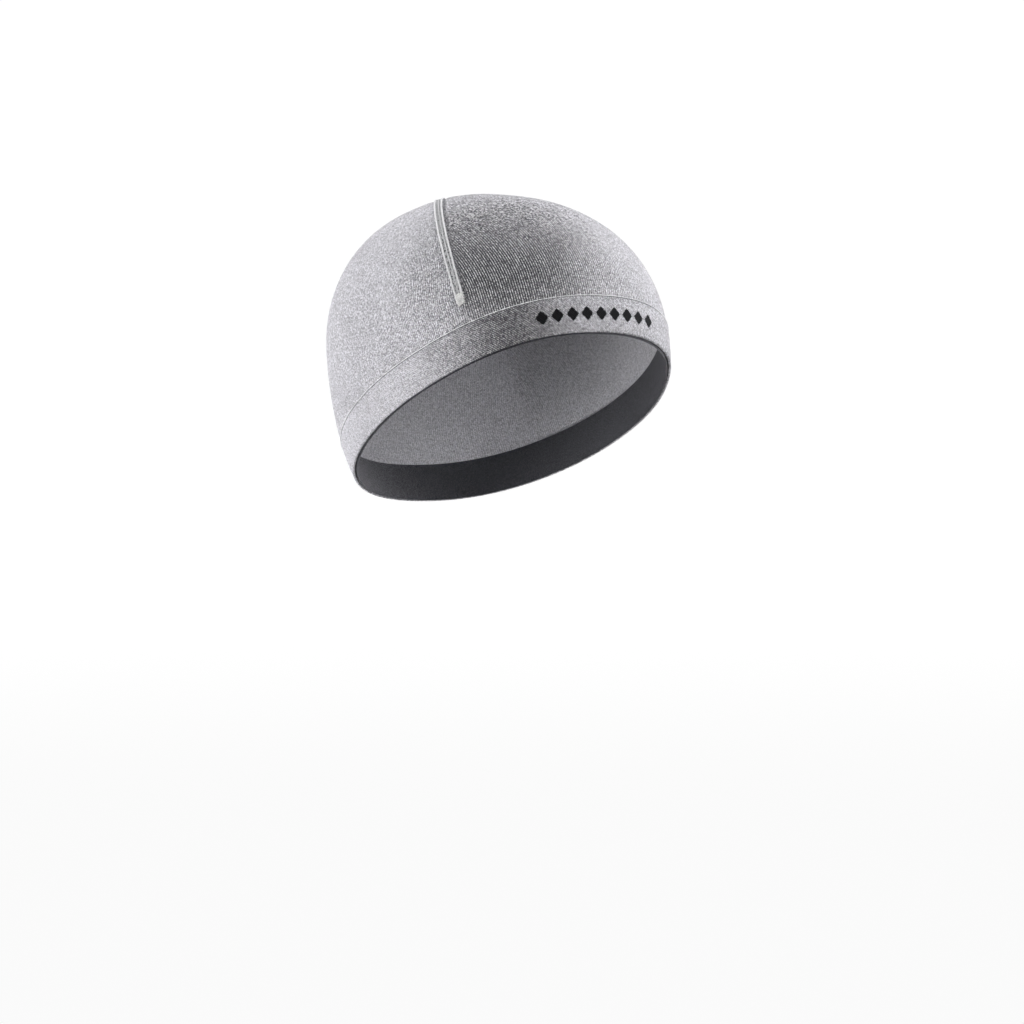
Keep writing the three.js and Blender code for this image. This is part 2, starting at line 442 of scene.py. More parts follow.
def painted_shade_at(g, towards, fully, reach):
    """Share of painted shade in the knit, from 0 to 1: most on the brow before the seam, least behind it. It
    darkens the gaps and adds dark yarn, for the shade that falls into the knit where light grazes it.
    """
    near = g.vectors("DOT_PRODUCT", g.vectors("NORMALIZE", g.from_middle()), towards)
    angle = g.mul(g.math("ARCCOSINE", g.math("MINIMUM", near, 1.0)), 180 / math.pi)
    spread = g.ramp(angle, fully, reach, 1.0, SHADE_LEAST)
    return g.mul(spread, g.ramp(before_seam(g), 0.0, 1.0, SHADE_BEHIND_SEAM, 1.0))


# Stitches: slant of the two legs, the cleft between them, how far each leg arches, and the fibres on it
LEG_SLANT, CLEFT_WIDTH, CLEFT_DEPTH = 1.1, 0.1, 0.08
COLUMN_RISE, SOFT_ARCH, STRONG_ARCH = 0.5, 0.18, 0.34
FIBRE_SCALE, FIBRE_STRETCH, FIBRE_RISE = 3.2, 0.6, 0.6
RIDGE_BASE, TONE_BASE = 0.6, 0.5

# Grain of the yarn, as cells a millimetre across and along the columns and a seed: fine at the sides, broad on
# top. The top sets in and is full at these heights on a unit sphere.
FINE_GRAIN, BROAD_GRAIN = (2.2, 2.3, 3.5), (2.2, 1.5, 4.5)
TOP_FROM, TOP_TO = 0.5, 0.92

# Painted shade in the gaps between columns: its floor and rim on the ridge, how far the painted shade's share
# widens the gaps, how dark they are where none is painted, and how much of that is lost on top of the crown
GAP_FLOOR, GAP_RIM, GAP_WIDER_IN_SHADE, GAP_OUT_OF_SHADE, GAP_LOST_ON_TOP = -0.25, 0.17, 0.22, 0.25, 0.6

# Dark yarn: its share at least, more on top as painted shade of the relief there, more where the shade is painted,
# and the grain and tones that are dark
DARK_LEAST, DARK_SHADE_ON_TOP, DARK_IN_SHADE = 0.66, 0.28, 0.42
SPECK_FULL, SPECK_NONE, DUSK_NONE, DUSK_SHARE = 0.3, 0.65, 0.5, 0.7

# Pale yarn: how much paler, how pale at most, the tones that are pale, its share there and where the shade is
# painted, and the broad clouds over the cloth
PALER, PALEST, PALE_FROM, PALE_SHARE, PALE_IN_SHADE = 1.15, 0.95, 0.6, 0.5, 0.5
CLOUD_SCALE, CLOUD_FROM, CLOUD_TO, CLOUD_SIZE = 0.03, 0.3, 0.7, 0.02

# Share of the fuzz on pale and on dark yarn, and of the relief where no shade is painted
FUZZ_PALE, FUZZ_DARK, RELIEF_OUT_OF_SHADE = 1.3, 0.4, 0.45


def stitches(g, wale, course, reverse, twill):
    """Columns of V stitches: the ridge at each point, the height of the cloth, and each stitch's own tone."""
    # A twill slants the other way past the seam, where the cloth's places are shifted
    lean = g.ramp(g.u, SIDE_SHIFT / 2 - 1, SIDE_SHIFT / 2 + 1, twill / course, -twill / course)
    columns = g.add(g.mul(g.u, 1 / wale), g.mul(g.v, lean))
    middle = g.sub(g.math("FRACT", columns), 0.5)
    beside = g.math("ABSOLUTE", middle)
    courses = g.sub(g.mul(g.v, 1 / course), g.mul(beside, -LEG_SLANT if reverse else LEG_SLANT))
    arch = g.math("COSINE", g.mul(g.math("FRACT", courses), 2 * math.pi))
    column = g.math("COSINE", g.mul(middle, 2 * math.pi))
    tone = g.random(g.math("FLOOR", g.mul(columns, 2)), g.math("FLOOR", courses), 0.5)
    cleft = g.ramp(beside, 0.0, CLEFT_WIDTH, -CLEFT_DEPTH, 0.0)
    arching = g.mul(arch, -STRONG_ARCH if reverse or twill else -SOFT_ARCH)
    ridge = g.add(g.add(g.mul(column, COLUMN_RISE), cleft), arching)
    fibre = g.mul(g.noise(g.u, g.mul(g.v, FIBRE_STRETCH), FIBRE_SCALE, 1.0), FIBRE_RISE)
    height = g.add(g.mul(g.add(ridge, RIDGE_BASE), g.add(tone, TONE_BASE)), fibre)
    return ridge, height, tone


def top_of_crown(g):
    """From 0 at the cap's sides to 1 on its top."""
    upward = g.vectors("DOT_PRODUCT", g.vectors("NORMALIZE", g.from_middle()), (0, 0, 1))
    return g.ramp(upward, TOP_FROM, TOP_TO)


def melange(g, painted_shade, ridge, tone, gaps, specks, calm):
    """Share of dark at each point, from painted shade in the gaps between columns, dim stitches and specks, all
    more where the shade is painted. Also gives their grain.
    """
    on_top = top_of_crown(g)
    grain = g.add(g.mul(g.grain(*BROAD_GRAIN), on_top), g.mul(g.grain(*FINE_GRAIN), g.sub(1.0, on_top)))
    ridge_in_shade = g.sub(ridge, g.mul(painted_shade, GAP_WIDER_IN_SHADE))
    depth = g.add(g.mul(painted_shade, 1 - GAP_OUT_OF_SHADE), GAP_OUT_OF_SHADE)
    depth = g.mul(depth, g.sub(1.0, g.mul(on_top, GAP_LOST_ON_TOP)))
    # Painted shade in the gaps between the columns
    gap_shade = g.mul(g.mul(g.ramp(ridge_in_shade, GAP_FLOOR, GAP_RIM, 1.0, 0.0), gaps), depth)
    # Dark yarn, with more on top as painted shade of the relief there
    least = g.add(g.mul(before_seam(g), g.sub(g.mul(on_top, DARK_SHADE_ON_TOP), calm)), DARK_LEAST)
    uneven = g.math("MINIMUM", g.mul(g.add(g.mul(painted_shade, DARK_IN_SHADE), least), specks), 1.0)
    dusk = g.mul(g.ramp(tone, 0.0, DUSK_NONE, 1.0, 0.0), g.mul(uneven, DUSK_SHARE))
    speck = g.mul(g.ramp(grain, SPECK_FULL, SPECK_NONE, 1.0, 0.0), uneven)
    lit = g.mul(g.mul(g.sub(1.0, gap_shade), g.sub(1.0, dusk)), g.sub(1.0, speck))
    return g.sub(1.0, lit), grain


def yarns(g, painted_shade, tone, shade, light, dark):
    """Colour of the pale yarns, and of the dark yarn and the painted shade between them."""
    pale = tuple(min(PALEST, c * PALER) for c in light)
    share = g.add(g.ramp(tone, PALE_FROM, 1.0, 0.0, PALE_SHARE), g.mul(painted_shade, PALE_IN_SHADE))
    cloud = g.ramp(g.noise(g.u, g.v, CLOUD_SCALE, 1.0), CLOUD_FROM, CLOUD_TO, -CLOUD_SIZE, CLOUD_SIZE)
    return g.mix(g.math("MINIMUM", g.add(shade, cloud), 1.0), g.mix(share, light, pale), dark)


# The small diamonds knitted on the brow: number, pitch, height of their middle, half-sizes and stitch steps
DIAMOND_COUNT, DIAMOND_PITCH, DIAMOND_HEIGHT = 9, 7.6, 9.2
DIAMOND_SIZE, DIAMOND_STEPS = (3.3, 3.58), (0.58, 0.45)
# The diamonds' black yarn: darker in the knit's valleys as painted shade, then its fuzz, gloss and the valley and
# ridge heights of that shade
MARK_DARK, MARK_LIGHT = (0.004, 0.004, 0.005), (0.016, 0.016, 0.018)
MARK_SHEEN, MARK_SPECULAR, MARK_VALLEY, MARK_RIDGE = 0.02, 0.08, -0.3, 0.5


def diamonds(g):
    """A short row of small diamonds on the brow, in even steps."""
    along = g.sub(g.u, BROW_PLACE)
    number = g.math("ROUND", g.mul(along, 1 / DIAMOND_PITCH))
    aside = g.math("ABSOLUTE", g.sub(along, g.mul(number, DIAMOND_PITCH)))
    above = g.math("ABSOLUTE", g.sub(g.v, DIAMOND_HEIGHT))
    steps = [g.math("SNAP", g.add(way, step / 2), step) for way, step in zip((aside, above), DIAMOND_STEPS)]
    reach = g.add(g.mul(steps[0], 1 / DIAMOND_SIZE[0]), g.mul(steps[1], 1 / DIAMOND_SIZE[1]))
    inside = g.math("LESS_THAN", reach, 1.0)
    return g.mul(inside, g.math("LESS_THAN", g.math("ABSOLUTE", number), DIAMOND_COUNT / 2))


def with_marks(g, colour, fuzz, ridge):
    """The diamonds' black yarn, with painted shade in its valleys and hardly any fuzz or gloss."""
    inside = diamonds(g)
    black = g.mix(g.ramp(ridge, MARK_VALLEY, MARK_RIDGE), MARK_DARK, MARK_LIGHT)
    g.link(g.ramp(inside, 0.0, 1.0, SPECULAR, MARK_SPECULAR), g.shader.inputs["Specular IOR Level"])
    return g.mix(inside, colour, black), g.math("MINIMUM", fuzz, g.ramp(inside, 0.0, 1.0, 1.0, MARK_SHEEN))


# Painted shade in the gutter beside the seam: where it sets in, how far out it is full, where it is gone, its
# strength, and the paler grey mixed into it
GUTTER_START, GUTTER_INNER, GUTTER_OUTER, GUTTER_SHADE = (0.5, 1.5), 3.0, 4.4, 0.8
GUTTER_SHADE_GREY, GUTTER_GRAIN = (0.27, 0.267, 0.28), (0.1, 0.7)


def with_painted_gutter_shade(g, colour, grain):
    """Painted shade in the gutter along the seam's front left side."""
    aside = across_seam(g)
    sewn = g.ramp(g.v, TACK_START - 1, TACK_START + 1)
    # Painted shade beside the seam, where it is sewn
    painted_gutter_shade = g.mul(g.ramp(aside, GUTTER_INNER, GUTTER_OUTER, GUTTER_SHADE, 0.0), g.ramp(aside, *GUTTER_START))
    return g.mix(g.mul(painted_gutter_shade, sewn), colour, g.mix(g.ramp(grain, *GUTTER_GRAIN), DARK_GREY, GUTTER_SHADE_GREY))


def knit_material(
    name, *, wale, course, light, dark, relief, gaps, specks, shade_place,
    calm=0.0, reverse=False, twill=0.0, marked=False, gutter=False,
):
    """Plain melange knit, with painted shade in its gaps and dark yarn, strongest about its given place. Calm takes
    specks away before the seam, and twill slants the columns.
    """
    g = Graph(name)
    # Share of painted shade at each point, which darkens the gaps and adds dark yarn
    painted_shade = painted_shade_at(g, *shade_place)
    ridge, height, tone = stitches(g, wale, course, reverse, twill)
    shade, grain = melange(g, painted_shade, ridge, tone, gaps, specks, calm)
    colour = yarns(g, painted_shade, tone, shade, light, dark)
    fuzz = g.ramp(shade, 0.0, 1.0, FUZZ_PALE * SHEEN, FUZZ_DARK * SHEEN)
    if marked:
        colour, fuzz = with_marks(g, colour, fuzz, ridge)
    # Painted shade in the seam's gutter
    if gutter:
        colour = with_painted_gutter_shade(g, colour, grain)
    g.link(colour, g.shader.inputs["Base Color"])
    g.link(fuzz, g.shader.inputs["Sheen Weight"])
    g.bump(g.mul(height, g.add(g.mul(painted_shade, 1 - RELIEF_OUT_OF_SHADE), RELIEF_OUT_OF_SHADE)), relief)
    return g.finish()


# Sewing thread: painted shade in the grooves between the plies and in small random dark spots, relief and gloss
TWIST_SHADE, SPOT_SHADE, SPOT_SHADE_FULL, SPOT_SHADE_NONE = 0.5, 0.6, 0.38, 0.55
SPOT_STRETCH, SPOT_SCALE, SPOT_DETAIL = 2.0, 6.0, 3.0
THREAD_RELIEF, THREAD_ROUGHNESS, THREAD_SHEEN, THREAD_SPECULAR = 0.07, 0.72, 0.2, 0.35


def thread_material(name, light, dark, ply):
    """Twisted sewing thread: slanting plies, with painted shade in the grooves between them and in small random
    dark spots.
    """
    g = Graph(name)
    turn = g.add(g.mul(g.u, 1 / ply), g.v)
    twist = g.math("COSINE", g.mul(turn, 2 * math.pi))
    shade_spots = g.noise(g.u, g.mul(g.v, SPOT_STRETCH), SPOT_SCALE, SPOT_DETAIL)
    groove_shade = g.ramp(twist, -1.0, 0.3, TWIST_SHADE, 0.0)
    # Painted shade in the grooves and in the dark spots
    shade = g.add(groove_shade, g.ramp(shade_spots, SPOT_SHADE_FULL, SPOT_SHADE_NONE, SPOT_SHADE, 0.0))
    g.link(g.mix(shade, light, dark), g.shader.inputs["Base Color"])
    g.bump(g.add(g.mul(twist, 0.5), g.mul(shade_spots, 0.5)), THREAD_RELIEF)
    return g.finish(roughness=THREAD_ROUGHNESS, sheen=THREAD_SHEEN, specular=THREAD_SPECULAR)


# Cloth under the seam: its greys, its grain, painted shade in the needle holes across and along, its edges and
# strength, relief
BED_LIGHT, BED_DARK, BED_GRAIN = (0.56, 0.556, 0.57), (0.04, 0.04, 0.043), (2.1, 1.9, 5.5)
NEEDLE_ACROSS, NEEDLE_ALONG, NEEDLE_EDGES, NEEDLE_SHADE = 1.5, 0.42, (0.42, 0.56), 0.9
BED_SPECKS, BED_GRAIN_RISE, BED_RELIEF = 0.45, 0.4, 0.3


def bed_material():
    """The cloth between the seam's cords: grey, with short dashes of painted shade where the needles went through.
    """
    g = Graph("seam_bed")
    grain = g.grain(*BED_GRAIN)
    needle_hole_shade = g.ramp(g.noise(g.mul(g.u, NEEDLE_ACROSS), g.mul(g.v, NEEDLE_ALONG), 1.0, 2.0), *NEEDLE_EDGES)
    specks = g.ramp(grain, 0.0, 0.5, BED_SPECKS, 0.0)
    # Painted shade in the needle holes, with dark specks of yarn
    shade = g.math("MINIMUM", g.add(g.mul(needle_hole_shade, NEEDLE_SHADE), specks), 1.0)
    g.link(g.mix(shade, BED_LIGHT, BED_DARK), g.shader.inputs["Base Color"])
    g.bump(g.sub(g.mul(grain, BED_GRAIN_RISE), needle_hole_shade), BED_RELIEF)
    return g.finish()


# The cloths' yarns, and the knit of each. The dark grey is also the colour of the painted shade in the gaps.
LIGHT_GREY, DARK_GREY = (0.84, 0.828, 0.885), (0.03, 0.029, 0.035)
# The facing's near-black yarn shows as a thin line under the band: partly a dark inner layer, partly painted shade
# of the gap along the rim
FACING_LIGHT, FACING_DARK = (0.05, 0.052, 0.06), (0.012, 0.012, 0.014)
# Each knit is given the place where its painted shade is strongest
CROWN_KNIT = dict(wale=CROWN_WALE, course=CROWN_COURSE, light=LIGHT_GREY, dark=DARK_GREY, shade_place=CROWN_SHADE_PLACE)
BAND_KNIT = dict(wale=BAND_WALE, course=BAND_COURSE, light=LIGHT_GREY, dark=DARK_GREY, shade_place=BAND_SHADE_PLACE)
FACING_KNIT = dict(wale=FACING_WALE, course=FACING_COURSE, light=FACING_LIGHT, dark=FACING_DARK, shade_place=BAND_SHADE_PLACE)
crown_knit = knit_material("crown_knit", **CROWN_KNIT, relief=0.7, gaps=1.0, specks=0.9, calm=0.14, gutter=True)
crown_back = knit_material("crown_reverse", **CROWN_KNIT, relief=0.5, gaps=0.6, specks=0.5, reverse=True)
band_knit = knit_material("band_knit", **BAND_KNIT, relief=0.6, gaps=0.86, specks=0.74, twill=0.5, marked=True)
facing_knit = knit_material("facing_knit", **FACING_KNIT, relief=0.3, gaps=0.7, specks=0.4)

# Threads: pale and dark yarn, and length of a turn
seam_thread = thread_material("seam_thread", (0.7, 0.7, 0.705), (0.28, 0.28, 0.3), ply=0.8)
cover_thread = thread_material("cover_thread", (0.58, 0.58, 0.59), (0.22, 0.22, 0.23), ply=0.6)
tack_thread = thread_material("tack_thread", (0.88, 0.88, 0.87), (0.12, 0.12, 0.12), ply=0.7)
hem_thread = thread_material("hem_thread", (0.9, 0.9, 0.92), (0.5, 0.5, 0.52), ply=0.6)

# Crown: inner face from the pole down, rounded lower edge, outer face up to the pole
CROWN_EDGE = BAND_HEIGHT + LAYER_GAP / 2
OUTER_ROWS, INNER_ROWS, EDGE_ROWS = 140, 44, 6


def edge_rows(height, side, outer, inner):
    """Heights and offsets of a rounded edge. Side is 1 for an upper edge and -1 for a lower one."""
    half = (outer - inner) / 2
    turns = math.pi * (np.arange(EDGE_ROWS + 1) / EDGE_ROWS - 0.5)
    return [(height - side * half * (1 - math.cos(t)), inner + half - side * half * math.sin(t)) for t in turns]


def ring_at(height, out, relief=0.0):
    """Points round the cap at one height, or one height for each line."""
    heights = height + 0 * LINES.lengths
    points = LINES.points(heights[:, None])[:, 0]
    size = np.linalg.norm(points, axis=1, keepdims=True)
    return points / size * (size + out + (relief * cloth_relief(points, heights))[:, None]), heights


def crown_rows():
    """Height, offset and material of each ring of the crown."""
    start = CROWN_EDGE + CROWN_WALL / 2
    rise = LINES.lengths - start
    inner = [(start + rise * (i / INNER_ROWS), -CROWN_WALL, 1) for i in range(INNER_ROWS, 0, -1)]
    edge = [(h, o, 1 if o < -CROWN_WALL / 2 else 0) for h, o in edge_rows(CROWN_EDGE, -1, 0, -CROWN_WALL)]
    outer = [(start + rise * (i / OUTER_ROWS), 0.0, 0) for i in range(1, OUTER_ROWS + 1)]
    return inner + edge + outer


def build_crown():
    """The crown's cloth, with its relief."""
    rows = crown_rows()
    rings, heights = zip(*(ring_at(h, out, relief=1.0) for h, out, part in rows))
    parts = [part for h, out, part in rows]
    return round_the_cap("crown_cloth", rings, heights, [crown_knit, crown_back], parts, True)


crown = build_crown()
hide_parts("crown")

# Band and facing: hoops of cloth with rounded edges
BAND_ROWS, FACING_ROWS = 14, 16
FACING_OUTER = min(-CROWN_WALL, BAND_RISE - BAND_WALL) - LAYER_GAP


def hoop_rows(bottom, top, outer, inner, rows):
    """Height and offset of each ring of a hoop: lower edge, outer face, upper edge, inner face."""
    half = (outer - inner) / 2
    face = np.linspace(bottom + half, top - half, rows + 1)[1:-1]
    lower, upper = edge_rows(bottom, -1, outer, inner), edge_rows(top, 1, outer, inner)
    return lower + [(h, outer) for h in face] + upper + [(h, inner) for h in face[::-1]]


def build_hoop(name, bottom, top, outer, wall, rows, material):
    """A hoop of smooth cloth from one height to another."""
    rings, heights = zip(*(ring_at(h, out) for h, out in hoop_rows(bottom, top, outer, outer - wall, rows)))
    return round_the_cap(name, rings, heights, [material], [0] * len(rings), False)


band = build_hoop("band_cloth", 0, BAND_HEIGHT - LAYER_GAP / 2, BAND_RISE, BAND_WALL, BAND_ROWS, band_knit)
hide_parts("band")

facing_top = BAND_HEIGHT + FACING_LAP
facing = build_hoop(
    "band_facing_cloth", -FACING_SHOW, facing_top, FACING_OUTER, FACING_WALL, FACING_ROWS, facing_knit
)
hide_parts("band_facing")

# The seam's way: up the front line to the pole and down the back line
SEAM_LINES = Meridians([SEAM_AZIMUTH, SEAM_AZIMUTH + 180])
FRONT_LENGTH, BACK_LENGTH = SEAM_LINES.lengths
WAY_LENGTH = FRONT_LENGTH + BACK_LENGTH
WAY_STEP = 0.5


def way_points(distance):
    """Points on the form at distances along the seam's way."""
    distance = np.asarray(distance, float)
    front = SEAM_LINES.points([distance, 0 * distance])[0]
    back = SEAM_LINES.points([0 * distance, WAY_LENGTH - distance])[1]
    return np.where((distance < FRONT_LENGTH)[:, None], front, back)


def way_frame(distance):
    """Points on the seam's way, the direction across it, and the direction off the cloth."""
    point = way_points(distance)
    ahead = way_points(distance + WAY_STEP) - way_points(distance - WAY_STEP)
    normal = form_normal(point)
    side = np.cross(ahead, normal)
    side /= np.linalg.norm(side, axis=1, keepdims=True)
    return point, side, normal


def on_seam(distance, across, lift):
    """Points beside and above the seam's way, and the directions off the cloth there."""
    point, side, normal = way_frame(distance)
    return point + side * np.asarray(across)[..., None] + normal * np.asarray(lift)[..., None], normal


def cord_mesh(path, normals, radii, sides=8, flat=1.0):
    """Points, faces and places of a thread along a path, closed at both ends."""
    ahead = np.gradient(path, axis=0)
    ahead /= np.linalg.norm(ahead, axis=1, keepdims=True)
    side = np.cross(ahead, normals)
    side /= np.linalg.norm(side, axis=1, keepdims=True)
    up = np.cross(side, ahead)
    turns = 2 * math.pi * np.arange(sides) / sides
    ring = np.cos(turns)[None, :, None] * side[:, None] + flat * np.sin(turns)[None, :, None] * up[:, None]
    points = (path[:, None] + ring * np.asarray(radii)[..., None, None]).reshape(-1, 3)
    run = np.r_[0, np.cumsum(np.linalg.norm(np.diff(path, axis=0), axis=1))]
    places = np.stack(np.broadcast_arrays(run[:, None], np.abs(2 * np.arange(sides) / sides - 1)[None]), -1)
    faces = []
    for i in range(len(path) - 1):
        for j in range(sides):
            k = (j + 1) % sides
            faces.append([i * sides + j, i * sides + k, (i + 1) * sides + k, (i + 1) * sides + j])
    last = (len(path) - 1) * sides
    faces += [list(range(sides))[::-1], list(range(last, last + sides))]
    return points, faces, places.reshape(-1, 2)


def join(parts):
    """Several meshes as one."""
    points, faces, places, start = [], [], [], 0
    for p, f, uv in parts:
        points.append(p)
        places.append(uv)
        faces.extend([[i + start for i in face] for face in f])
        start += len(p)
    return np.concatenate(points), faces, np.concatenate(places)


def sewn_piece(name, parts, material):
    """One mesh of threads or cloth, joined from parts."""
    points, faces, places = join(parts)
    piece = new_mesh(name, points, faces, [material], places=places)
    return piece


def wobble(run, size, lengths, seed):
    """A small seeded irregularity along a thread."""
    phases = np.random.default_rng(seed).uniform(0, 2 * math.pi, len(lengths))
    return size * sum(np.sin(2 * math.pi * run / n + p) for n, p in zip(lengths, phases)) / len(lengths)


# Run of the seam's threads, in millimetres along its way, and the step between their points
SEAM_START, SEAM_STEP, COVER_STEP = TACK_END - 0.6, 0.45, 0.16
SEAM_RUN = np.arange(SEAM_START, WAY_LENGTH - SEAM_START, SEAM_STEP)

# Cords of the seam: place across it, height, radius and how far the middle one dips
OUTER_CORD, OUTER_CORD_LIFT, OUTER_CORD_RADIUS = 1.78, 0.42, 0.52
MIDDLE_CORD, MIDDLE_CORD_LIFT, MIDDLE_CORD_RADIUS, MIDDLE_CORD_DIP = 0.15, 0.46, 0.34, 0.3

# How each cord swells in a stitch, how flat it lies, and how it sways and dips
CORD_STITCH, CORD_SWELL, CORD_FLAT = 2.6, 0.2, 0.85
SWAY_SIZE, SWAY_LENGTHS = 0.12, (3.1, 7.3, 19.0)
DIP_BASE, DIP_SIZE, DIP_LENGTHS = 0.5, 0.9, (5.3, 13.0, 41.0)


def seam_cord(across, lift, radius, seed, dip=0.0):
    """A cord along the whole seam, thicker in the middle of each stitch."""
    swell = 1 - CORD_SWELL + CORD_SWELL * np.abs(np.sin(math.pi * SEAM_RUN / CORD_STITCH + seed)) ** 0.5
    sway = wobble(SEAM_RUN, SWAY_SIZE, SWAY_LENGTHS, seed)
    drop = dip * (DIP_BASE + wobble(SEAM_RUN, DIP_SIZE, DIP_LENGTHS, seed + 1))
    path, normals = on_seam(SEAM_RUN, across + sway, lift - np.maximum(drop, 0))
    return cord_mesh(path, normals, radius * swell, flat=CORD_FLAT)


outer_cords = [
    seam_cord(side * OUTER_CORD, OUTER_CORD_LIFT, OUTER_CORD_RADIUS, seed=11 + side) for side in (-1, 1)
]
cords = sewn_piece("seam_cords", outer_cords, seam_thread)
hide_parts("crown_seam")

middle_cord = seam_cord(MIDDLE_CORD, MIDDLE_CORD_LIFT, MIDDLE_CORD_RADIUS, seed=21, dip=MIDDLE_CORD_DIP)
sewn_piece("seam_middle_thread", [middle_cord], cover_thread)

# Cover threads: pitch of their zigzag, how far it reaches, how full its turns are, radius, height and ripple
COVER_PITCH, COVER_REACH, COVER_FULLNESS = 4.2, OUTER_CORD - 0.15, 0.25
COVER_RADIUS, COVER_LIFT, COVER_RIPPLE = 0.15, 0.26, 0.1


def cover_thread_mesh(phase):
    """A looper thread that crosses between the outer cords."""
    run = np.arange(SEAM_START, WAY_LENGTH - SEAM_START, COVER_STEP)
    turn = 2 * math.pi * run / COVER_PITCH
    swing = np.sin(turn + phase)
    across = COVER_REACH * swing * (1 + COVER_FULLNESS - COVER_FULLNESS * swing**2)
    path, normals = on_seam(run, across, COVER_LIFT + COVER_RIPPLE * np.cos(2 * turn))
    return cord_mesh(path, normals, COVER_RADIUS, sides=6)


cover = [cover_thread_mesh(phase) for phase in (0.0, math.pi)]
sewn_piece("seam_cover_threads", cover, cover_thread)

# The cloth's raised edges under the threads: their section, as places across and heights, and their ripple
BED_SECTION = [(-2.1, -0.25), (-1.95, 0.08), (-1.2, 0.2), (0.0, 0.14), (1.2, 0.2), (1.95, 0.08), (2.1, -0.25)]
BED_RIPPLE, BED_RIPPLE_LENGTHS = 0.05, (1.9, 2.7)


def seam_bed():
    """A low strip with a rounded section, closed at both ends."""
    points, faces, places = [], [], []
    for across, lift in BED_SECTION:
        ripple = wobble(SEAM_RUN, BED_RIPPLE, BED_RIPPLE_LENGTHS, int(across * 10) + 60)
        points.append(on_seam(SEAM_RUN, across, lift + ripple)[0])
        places.append(np.stack([np.full(len(SEAM_RUN), across), SEAM_RUN], 1))
    n, m = len(BED_SECTION), len(SEAM_RUN)
    for j in range(n):
        a, b = j * m, (j + 1) % n * m
        faces.extend([a + i + 1, b + i + 1, b + i, a + i] for i in range(m - 1))
    ends = [[j * m for j in range(n)], [j * m + m - 1 for j in reversed(range(n))]]
    return np.concatenate(points), faces + ends, np.concatenate(places)


sewn_piece("seam_bed", [seam_bed()], bed_material())

# Bars of stitches: turns of thread, points of each, radius, arch over the pad and sink into the cloth
TACK_TURNS, TACK_POINTS, TACK_RADIUS, TACK_ARCH, TACK_SINK = 9, 19, 0.36, 0.95, 0.12

# Their reach to each side, narrower at the outer end, and how unevenly the turns lie
TACK_REACH, TACK_NARROWER, TACK_THINNER, TACK_RIPPLE = 1.02, 0.34, 0.35, 0.12
TACK_STRAY, TACK_LEAN, TACK_SHIFT = (-0.12, 0.12), (-0.1, 0.6), (-0.2, 0.2)
TACK_REACHES, TACK_LIFTS = (0.86, 1.08), (0.6, 1.18)

# The pad of cords under a bar: their places across, inset from the bar's ends, points, height, radius and sway
PAD_PLACES, PAD_INSET, PAD_POINTS = (-1.4, -0.45, 0.5, 1.45), 0.3, 15
PAD_LIFT, PAD_RADIUS, PAD_SWAY, PAD_SWAY_LENGTHS = 0.42, 0.5, 0.15, (2.3, 4.1)

# One stream of random numbers for the bars and the hem, drawn in order
rng = np.random.default_rng(7)


def tack_turn(along, outer, ripple):
    """One turn of thread across a bar. Outer is 1 at the bar's outer end."""
    reach = TACK_WIDTH / 2 * (TACK_REACH - TACK_NARROWER * outer**5) * rng.uniform(*TACK_REACHES)
    turn = np.linspace(-1, 1, TACK_POINTS)
    lean, shift = rng.uniform(*TACK_LEAN), rng.uniform(*TACK_SHIFT)
    arch = TACK_ARCH * (1 - np.abs(turn) ** 3.2) ** 0.5 + TACK_RIPPLE * np.sin(5 * turn + ripple)
    lift = arch * rng.uniform(*TACK_LIFTS) - TACK_SINK
    path, normals = on_seam(along + lean * turn, reach * turn + shift, lift)
    return cord_mesh(path, normals, TACK_RADIUS * (1 - TACK_THINNER * np.abs(turn) ** 6))


def tack_pad_cord(start, across):
    """One cord of the pad, along the bar."""
    run = np.linspace(start + PAD_INSET, start + TACK_LENGTH - PAD_INSET, PAD_POINTS)
    sway = wobble(run, PAD_SWAY, PAD_SWAY_LENGTHS, int(across * 10) + 90)
    path, normals = on_seam(run, across + sway, PAD_LIFT)
    return cord_mesh(path, normals, PAD_RADIUS)


def bartack(start, outer_first):
    """A dense bar of thread across the seam's end, over a low pad, rounder where the seam stops."""
    parts = []
    for i in range(TACK_TURNS):
        share = (i + 0.5) / TACK_TURNS
        along = start + TACK_LENGTH * share + rng.uniform(*TACK_STRAY)
        parts.append(tack_turn(along, 1 - share if outer_first else share, i))
    return parts + [tack_pad_cord(start, across) for across in PAD_PLACES]


BARS = [("bartack_front", TACK_START, True), ("bartack_back", WAY_LENGTH - TACK_END, False)]
for name, start, outer_first in BARS:
    tack = sewn_piece(name + "_threads", bartack(start, outer_first), tack_thread)
    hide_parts(name)

# Line of fine stitches where the crown meets the band: length of a stitch, points round the cap, place above
# the band and off the form, radius between the stitches, and how much more it is in them
HEM_STITCH, HEM_POINTS, HEM_ABOVE, HEM_OUT = 2.3, 1900, 0.1, 0.34
HEM_RADIUS, HEM_SWELL, HEM_UNEVEN = 0.12, 0.25, (0.2, 1.0)


def hem_line():
    """One thread round the cap in small uneven stitches, seated in the tuck above the band."""
    ring, heights = ring_at(BAND_HEIGHT + HEM_ABOVE, HEM_OUT)
    path = np.concatenate([ring, ring[:1]])
    run = np.r_[0, np.cumsum(np.linalg.norm(np.diff(path, axis=0), axis=1))]
    fine = np.linspace(0, run[-1], HEM_POINTS)
    path = np.stack([np.interp(fine, run, path[:, i]) for i in range(3)], 1)
    size = rng.uniform(*HEM_UNEVEN, int(run[-1] / HEM_STITCH) + 2)
    stitch = size[(fine / HEM_STITCH).astype(int)] * np.abs(np.sin(math.pi * fine / HEM_STITCH)) ** 0.6
    return cord_mesh(path, form_normal(path), HEM_RADIUS + HEM_SWELL * stitch, sides=6)


sewn_piece("hem_stitch_line", [hem_line()], hem_thread)

